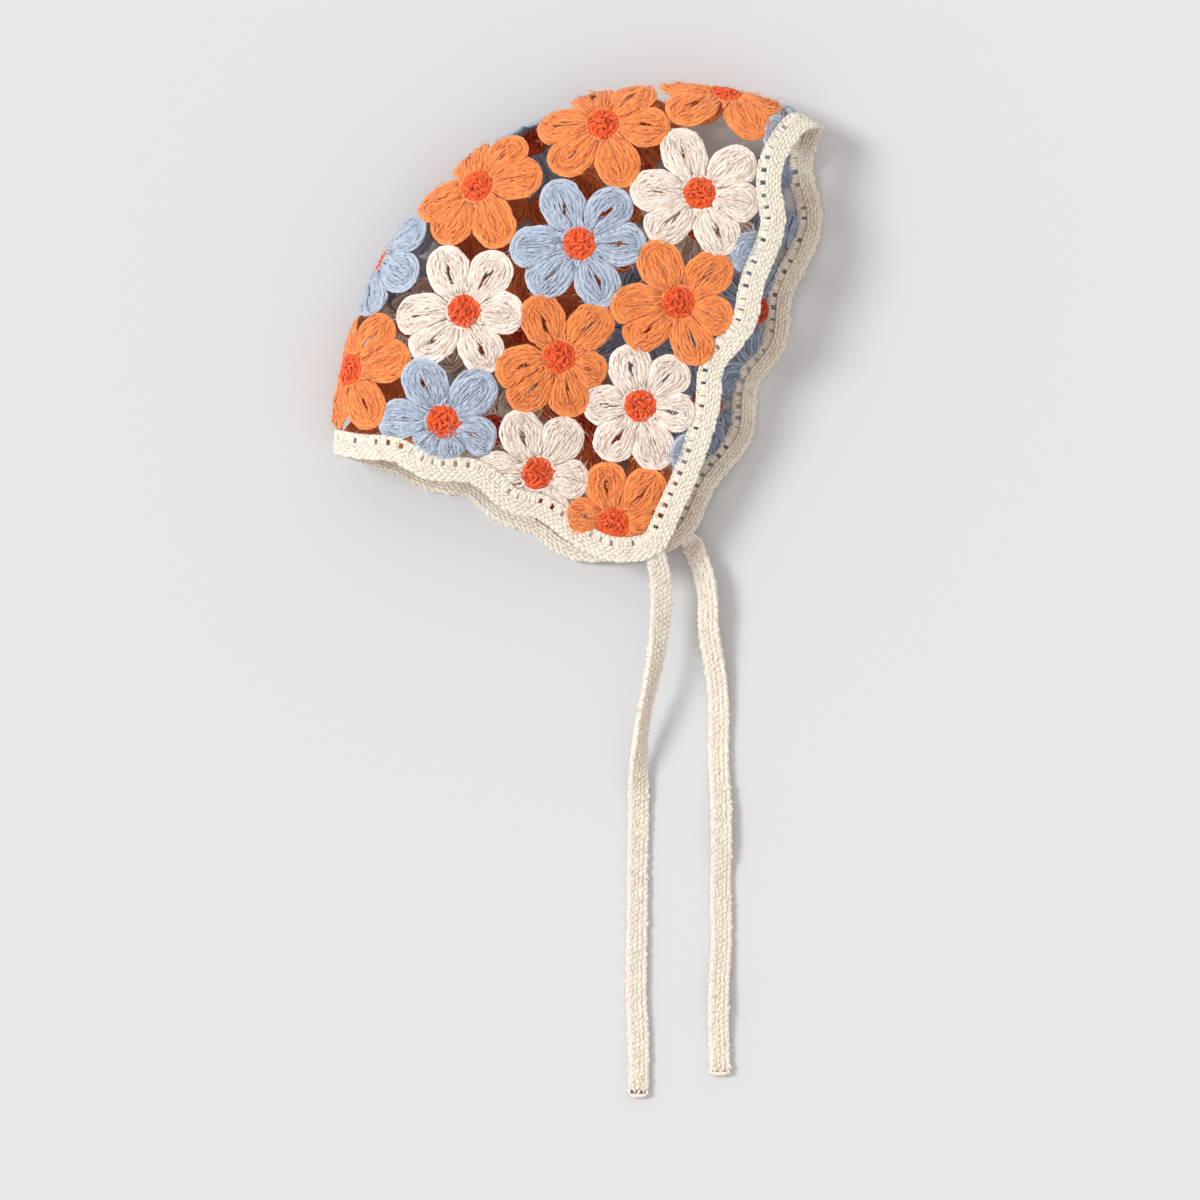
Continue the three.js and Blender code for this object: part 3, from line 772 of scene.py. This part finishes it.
def crochet_tie(name):
    tie = tie_frame(name)
    length = len(tie[0]) - 1.0
    strands = []
    core = np.arange(0.6, length, 3.0)
    for across in tie_cores:
        wave = 0.12 * np.sin(core * 0.9 + across)
        strands.append(strand(on_tie(tie, core, across + wave, 0 * core), 1.15, pointed=False))
    t = np.array([-0.5, 0, 0.5])
    for column, across in enumerate(tie_columns):
        outer = abs(across) == tie_columns[-1]
        fullness = 0.7 if outer else 1.0
        lightness = 0.1 if outer else -0.06
        first = tie_end_room + 0.5 * tie_pitch * (column % 2)
        for face in (1, -1):
            for stitch in np.arange(first, length - tie_end_room, tie_pitch):
                wobble = chance.normal(0, 0.16, 3)
                lean = chance.uniform(-0.7, 0.7)
                place = np.clip(stitch + 1.15 * tie_pitch * t + wobble[0], 0, length)
                side = across + 2 * lean * t + wobble[1]
                height = face * fullness * (0.7 + 0.3 * np.cos(math.pi * t) + 0.5 * wobble[2])
                shade = chance.normal(lightness, 0.06)
                strands.append(strand(on_tie(tie, place, side, height), 0.55, shade))

    # Strands across the free end, which close it
    across = np.linspace(tie_columns[0], tie_columns[-1], 6)
    end = length - 0.3 - 0.48 * (across / tie_columns[-1]) ** 2
    for height in (-0.6, 0.1, 0.7):
        strands.append(strand(on_tie(tie, end, across, np.full(6, height)), 0.7, 0.02))
    strands += fuzz(strands, 420, every_way, 2.6)
    lower_onto_table(strands)
    piece = wind(name + "_crochet", strands)
    finish_piece(piece, yarns["tie"], [name])


for tie_name in tie_routes:
    crochet_tie(tie_name)


# Flowers

# A petal's half width along it: share of the way from the ring to the tip, share of the width
petal_form = np.array([
    (0, 0.62), (0.12, 0.82), (0.25, 0.94), (0.4, 1.0), (0.55, 1.0), (0.7, 0.95),
    (0.82, 0.83), (0.91, 0.63), (0.97, 0.38), (1, 0),
])
petal_half_width = 7.7
usual_shortest = 0.7  # least share of its reach that a petal ending on the edging keeps
shortest_petals = {"near_flower_9": 0.5}  # its lower petals end on the edging in full
part_centres = ("far_flower_5", "far_flower_15")  # half hidden by the edging
ring_radius = 5.8
painted_far_shade = -0.4  # painted shade: the far layer's flowers show their inside, darkened towards the yarn's deep colour to stand in for the near layer's shade

# How finely a flower is worked, the radii of its yarns and the number of its hairs
near_work = {
    "loops": 8, "loop_points": 21, "outer_yarn": 0.6, "inner_yarn": 0.56,
    "middle_lines": (-0.55, 0.55), "middle_yarn": 0.52, "slits": True, "fibres": 22,
    "ring_stitches": 30, "hairs": 280, "knot_hairs": 30,
}
far_work = {
    "loops": 5, "loop_points": 17, "outer_yarn": 0.78, "inner_yarn": 0.78,
    "middle_lines": (0.0,), "middle_yarn": 0.8, "slits": False, "fibres": 2,
    "ring_stitches": 12, "hairs": 30, "knot_hairs": 6,
}

# What the edging does to a flower's strands, from its inner edge: where they start to sink,
# how deep they go and where they end
sink_room = 2.5
sink_depth = 0.6
sink_end = -1.5
edging_touch = -1.2  # where a petal that ends on the edging ends


def petal_strands(angle, reach, openings, over_edging, work):
    """The loops of one petal, from the ring round the tip and back, one inside another."""
    laid = []
    half_width = petal_half_width * min(1.05, 0.35 + 0.65 * reach / petal_reach)
    tip = reach - 0.1
    curl = chance.uniform(-0.1, 0.9)
    phase = chance.uniform(0, 2 * math.pi, 3)

    def lay(along, across, height, radius, shade):
        height = height + curl * (along / tip) ** 3
        x = along * math.cos(angle) - across * math.sin(angle)
        y = along * math.sin(angle) + across * math.cos(angle)
        laid.append(strand(np.column_stack([x, y, height]), radius, shade))
        laid[-1]["over_edging"] = over_edging

    def half_width_at(along, side):
        share = np.clip((along - ring_radius) / (tip - ring_radius), 0, 1)
        wide = np.interp(share, petal_form[:, 0], petal_form[:, 1]) * half_width
        shared = np.where(side > 0, math.tan(openings[0] / 2), math.tan(openings[1] / 2))
        return np.minimum(wide, along * shared)

    t = np.linspace(-1, 1, work["loop_points"])
    for number, k in enumerate(np.linspace(1, 0.22, work["loops"])):
        radius = work["inner_yarn"] if number else work["outer_yarn"]
        start = ring_radius - 0.2 + (1 - k) * 0.5
        end = tip - radius - (1 - k) * half_width * 0.8
        q = np.cos(t * math.pi / 2) ** 0.75
        q[0] = q[-1] = 0
        along = start + q * (end - start)
        width = np.interp(q, petal_form[:, 0], petal_form[:, 1]) * half_width
        width = np.minimum(width, half_width_at(along, t)) - radius
        drift = 0.2 * np.sin(0.8 * along + phase[0] + 4 * number) + chance.normal(0, 0.1, len(t))
        across = np.sign(t) * np.maximum(0, width) * k + drift * np.minimum(1, 3 * np.abs(t))
        crown = math.sqrt(1 - (0.92 * k) ** 2)
        height = 0.2 + 1.2 * crown * (0.5 + 0.5 * np.sin(math.pi * np.clip(q, 0, 1) ** 0.8))
        height = height + (0.12 if number % 2 else -0.1)
        height = height + 0.1 * np.sin(1.1 * along + phase[1] + 3 * number)
        shade = (0.1, 0.02, -0.05, -0.08)[min(number, 3)] + chance.normal(0, 0.09)
        lay(along, across, height, radius, shade)

    # The middle of the petal: lines of yarn, in most near petals with a slit or two left open
    kind = chance.integers(0, 5)
    for side in work["middle_lines"]:
        open_from = 0.53 + chance.uniform(-0.04, 0.04)
        open_to = 0.71 + chance.uniform(-0.04, 0.05)
        slit = work["slits"] and (kind in (0, 3) or kind in (1, 2) and side > 0)
        if kind == 3 and side > 0:
            open_from -= 0.12
            open_to -= 0.12
        runs = [(0.27, open_from), (open_to, 0.83)] if slit else [(0.27, 0.84)]
        for begin, finish in runs:
            along = np.linspace(begin, finish, 5) * tip
            across = side + 0.15 * np.sin(along + phase[2])
            height = 1.05 + 0.12 * np.sin(along * 0.9 + side)
            lay(along, across, height, work["middle_yarn"], chance.normal(-0.12, 0.06))

    # Short loose fibres over the loops
    for _ in range(work["fibres"]):
        line = chance.uniform(-0.9, 0.9)
        begin = chance.uniform(ring_radius, 0.78 * tip)
        along = begin + np.linspace(0, chance.uniform(2.4, 4.6), 4)
        along = np.minimum(along, 0.93 * tip)
        turn = chance.normal(0, 0.16) * (along - begin)
        across = line * half_width_at(along, line) + turn
        dome = np.sqrt(np.maximum(0.05, 1 - (across / half_width) ** 2))
        height = 0.4 + 1.2 * dome + np.array([-0.1, 0.2, 0.2, -0.1])
        lay(along, across, height, chance.uniform(0.27, 0.4), chance.normal(0.04, 0.16))
    return laid


def ring_strands(work):
    """The ring that the petals spring from, and short stitches over it."""
    t = np.arange(26) / 26 * 2 * math.pi
    away = 6.2 + 0.2 * np.sin(6 * t + chance.uniform(0, 6))
    height = 0.6 + 0.15 * np.sin(5 * t + chance.uniform(0, 6))
    points = np.column_stack([away * np.cos(t), away * np.sin(t), height])
    laid = [strand(points, 0.65, 0.05, closed=True)]
    count = work["ring_stitches"]
    for k in range(count):
        turn = (k + chance.uniform(-0.4, 0.4)) * 2 * math.pi / count
        away = np.array([5.7, 6.6, 7.9, 9.4]) + chance.normal(0, 0.35)
        turns = turn + chance.normal(0, 0.05) * np.arange(4)
        height = np.array([0.6, 1.15, 1.4, 1.15])
        points = np.column_stack([away * np.cos(turns), away * np.sin(turns), height])
        laid.append(strand(points, 0.42, chance.normal(0.05, 0.1)))
    return laid


def knot_strands():
    """The knotted middle: short tufts that lie every way, over coiled rings."""
    laid = []
    for radius, thickness in ((1.2, 1.1), (3.1, 1.15), (4.9, 1.1)):
        t = np.arange(14) / 14 * 2 * math.pi
        away = radius + 0.2 * np.sin(3 * t + chance.uniform(0, 6))
        points = np.column_stack([away * np.cos(t), away * np.sin(t), np.full(14, 0.4)])
        laid.append(strand(points, thickness, -0.12, closed=True))
    for count, ring, height_there in ((18, 5.0, 1.0), (12, 3.4, 1.5), (7, 1.5, 1.75)):
        for k in range(count):
            turn = (k + chance.uniform(-0.4, 0.4)) * 2 * math.pi / count
            away = ring + chance.normal(0, 0.35)
            lean = turn + chance.normal(0, 0.9)
            half = chance.uniform(0.9, 1.9)
            t = np.array([-1, -0.35, 0.35, 1]) * half
            x = away * math.cos(turn) + t * math.cos(lean)
            y = away * math.sin(turn) + t * math.sin(lean)
            height = height_there + 0.25 - 0.22 * t ** 2 + chance.normal(0, 0.12)
            points = np.column_stack([x, y, height])
            laid.append(strand(points, chance.uniform(0.42, 0.62), chance.normal(0.03, 0.2)))
    return laid


def lay_on_shell(seat, flats):
    """Lays strands on the cloth. Where the edging crosses them they pass under it and end."""
    sizes = [len(each["points"]) for each in flats]
    over_edging = np.repeat([each.get("over_edging", False) for each in flats], sizes)
    flat = np.vstack([each["points"] for each in flats])
    ground, up = under_flower(seat, flat)
    room = room_to_edging(seat, ground)
    tuck = np.where(over_edging, 1, np.clip(room / sink_room, 0, 1))
    points = ground + up * (flat[:, 2] * tuck - sink_depth * (1 - tuck))[:, None]
    kept = over_edging | (room > sink_end)
    laid, at = [], 0
    for each, size in zip(flats, sizes):
        part, keep = points[at:at + size], kept[at:at + size]
        at += size
        radius = float(each["radii"].max())
        rest_on_table(part, radius)
        if keep.all():
            laid.append({**each, "points": part})
            continue
        if each["closed"] and keep.any():
            first = int(np.argmin(keep))
            part, keep = np.roll(part, -first, axis=0), np.roll(keep, -first)
        runs = np.split(np.arange(size), np.flatnonzero(np.diff(keep.astype(int))) + 1)
        for run in runs:
            if keep[run[0]] and len(run) > 2:
                laid.append(strand(part[run], radius, each["shade"]))
    return laid


def clear_of_edging(seat, petals):
    """Ends a near petal on the edging's inner edge, if enough of it stays."""
    if not seat["near"]:
        return [(angle, reach, False) for angle, reach in petals]
    shares = np.linspace(1, shortest_petals.get(seat["name"], usual_shortest), 16)
    angles = np.repeat([angle for angle, _ in petals], len(shares))
    reaches = np.concatenate([reach * shares for _, reach in petals])
    room = room_to_edging(seat, walk(seat["middle"], headings_at(seat, angles), reaches))
    ended = []
    for (angle, reach), rooms in zip(petals, room.reshape(len(petals), -1)):
        fits = np.flatnonzero(rooms > edging_touch)
        first = fits[0] if len(fits) else 0
        ended.append((angle, reach * shares[first], bool(first > 0)))
    return ended


def crochet_flower(seat):
    name = seat["name"]
    is_node = "flower" in name
    petals = clear_of_edging(seat, petals_of(seat))
    work = near_work if seat["near"] else far_work
    # painted shade for the far layer's flowers, which lie in the near layer's shade
    painted_shade_amount = painted_far_shade if seat["front"] < 0 else 0.0
    flats = []
    for k, (angle, reach, over_edging) in enumerate(petals):
        to_next = (petals[(k + 1) % 6][0] - angle) % (2 * math.pi)
        to_last = (angle - petals[k - 1][0]) % (2 * math.pi)
        flats += petal_strands(angle, reach, (to_next, to_last), over_edging, work)
    flats += ring_strands(work)

    def front(points):
        return outward(points) * seat["front"]

    def brushed(strands, hairs, length):
        strands = strands + fuzz(strands, hairs, front, length)
        # painted shade: darkens every strand and hair of a far layer's flower
        for each in strands:
            each["shade"] += painted_shade_amount
        return strands

    laid = lay_on_shell(seat, flats)
    if laid:
        piece = wind(name + "_petals" if is_node else name, brushed(laid, work["hairs"], 3.2))
        finish_piece(piece, yarns[seat["yarn"]], [name] if is_node else [])
    if seat["whole"] or name in part_centres:
        centre = name.replace("flower", "centre")
        tufts = lay_on_shell(seat, knot_strands())
        if seat["on_fold"]:
            tufts += lay_on_shell({**seat, "front": -1}, knot_strands())
        knot = wind(centre + "_knot", brushed(tufts, work["knot_hairs"], 2.4))
        finish_piece(knot, yarns["red"], [centre] if seat["whole"] else [])


for seat in seats:
    crochet_flower(seat)


# Edging: a chain row, posts with eyelets between them, and close rows out to the free edge

eyelet_spacing = 4.3
stitch_spacing = 2.2
core_spacing = 2.5
edging_cores = (-0.3, 0.9, 2.1, 3.3)
edging_rows = (-0.5, 0.65, 1.8, 2.95, 3.95)
chain_place = -3.7
post_places = np.array([-3.9, -2.9, -1.7, -0.5])


def crochet_edging():
    eyelet_pitch = band_length / round(band_length / eyelet_spacing)
    stitch_pitch = band_length / round(band_length / stitch_spacing)
    t = np.array([-0.5, 0, 0.5])
    laid = []

    def stitch(place, across, height, thickness, shade):
        laid.append(strand(on_band(place, across, height), thickness, shade))

    def end_piece(name, hairs, nodes=()):
        strands = laid + fuzz(laid, hairs, every_way, 2.6)
        lower_onto_table(strands)
        laid.clear()
        finish_piece(wind(name, strands), yarns["edging"], nodes)

    # Strands that join each tie to the edging
    for name in tie_routes:
        tie = tie_frame(name)
        for across in np.linspace(-3, 3, 7):
            for height in (-0.5, 0.5):
                start = on_tie(tie, np.array([2.0, 0.3]), np.full(2, across), np.full(2, height))
                away = np.linalg.norm(band_line - start[1], axis=1)
                end = band_line[away.argmin()]
                laid.append(strand(np.vstack([start, 0.5 * (start[1] + end), end]), 0.75, 0.0))

    # Long strands that carry the close rows, and the rows on both faces
    run = np.linspace(0, band_length, round(band_length / core_spacing), endpoint=False)
    for across in edging_cores:
        wave = 0.1 * np.sin(run * 0.7 + across)
        laid.append(strand(on_band(run, across + wave, 0 * run), 0.85, -0.03, closed=True))
    for k in range(round(band_length / stitch_pitch)):
        middle = k * stitch_pitch
        towards_camera = band_up[int(middle) % len(band_line), 2]
        for row, across in enumerate(edging_rows):
            outer = row == len(edging_rows) - 1
            scallop = 0.15 * math.sin(2.1 * k) if outer else 0
            fullness = 0.2 if outer else 0.5
            for face in (1, -1):
                hidden = face * towards_camera < 0
                if hidden and (k + row) % 2:
                    continue
                wobble = chance.normal(0, 0.13, 3)
                lean = chance.uniform(-0.5, 0.5)
                span = (2.0 if hidden else 1.15) * stitch_pitch
                stitch(
                    middle + wobble[0] + (0.5 * stitch_pitch if row % 2 else 0) + span * t,
                    across + 2 * lean * t + 0.7 * wobble[1] + scallop,
                    face * (fullness + 0.25 * np.cos(math.pi * t) + 0.4 * wobble[2]),
                    0.6, chance.normal(0.02, 0.06),
                )
    end_piece("edging_crochet", 600, ["edging_band"])

    # Inner chain, and posts between the eyelets
    for k in range(round(band_length / stitch_pitch)):
        for lean in (0.4, -0.4):
            wobble = chance.normal(0, 0.12, 2)
            stitch(
                k * stitch_pitch + wobble[0] + 1.3 * stitch_pitch * t,
                chain_place + lean * (0.9 - 1.4 * t) + 0.5 * wobble[1],
                0.25 + 0.3 * np.cos(math.pi * t),
                0.55, chance.normal(0.03, 0.06),
            )
    for k in range(round(band_length / eyelet_pitch)):
        offsets = [-1.05, -0.35, 0.35, 1.05] + ([2.15] if chance.random() < 0.3 else [])
        for offset in offsets:
            wobble = chance.normal(0, 0.1, 3)
            place = k * eyelet_pitch + offset * np.array([1.1, 0.95, 0.95, 1.15]) + wobble[0]
            height = np.array([0.1, 0.4, 0.45, 0.3]) + wobble[1]
            stitch(place, post_places, height, 0.62, chance.normal(0.01, 0.06))
    end_piece("edging_eyelets", 400)


crochet_edging()


# Floor and light

def pale_floor():
    work = bmesh.new()
    bmesh.ops.create_grid(work, x_segments=1, y_segments=1, size=8.0)
    mesh = bpy.data.meshes.new("floor")
    work.to_mesh(mesh)
    work.free()
    floor = bpy.data.objects.new("floor", mesh)
    scene.collection.objects.link(floor)
    material = bpy.data.materials.new("pale_floor")
    material.use_nodes = True
    shader = material.node_tree.nodes["Principled BSDF"]
    shader.inputs["Base Color"].default_value = (0.62, 0.62, 0.622, 1)
    shader.inputs["Roughness"].default_value = 0.9
    shader.inputs["Specular IOR Level"].default_value = 0.1
    mesh.materials.append(material)


def window_light():
    """One soft light from the upper left, and even light from all round."""
    data = bpy.data.lights.new("window", "SUN")
    data.energy = 2.1
    data.angle = math.radians(19)
    data.color = (0.95, 1.0, 1.03)
    light = bpy.data.objects.new("window", data)
    light.rotation_euler = (math.radians(-12), math.radians(-43), 0)
    scene.collection.objects.link(light)
    world = bpy.data.worlds.new("studio")
    world.use_nodes = True
    world.node_tree.nodes["Background"].inputs["Color"].default_value = (1.0, 0.97, 0.955, 1)
    world.node_tree.nodes["Background"].inputs["Strength"].default_value = 0.84
    scene.world = world


pale_floor()
window_light()
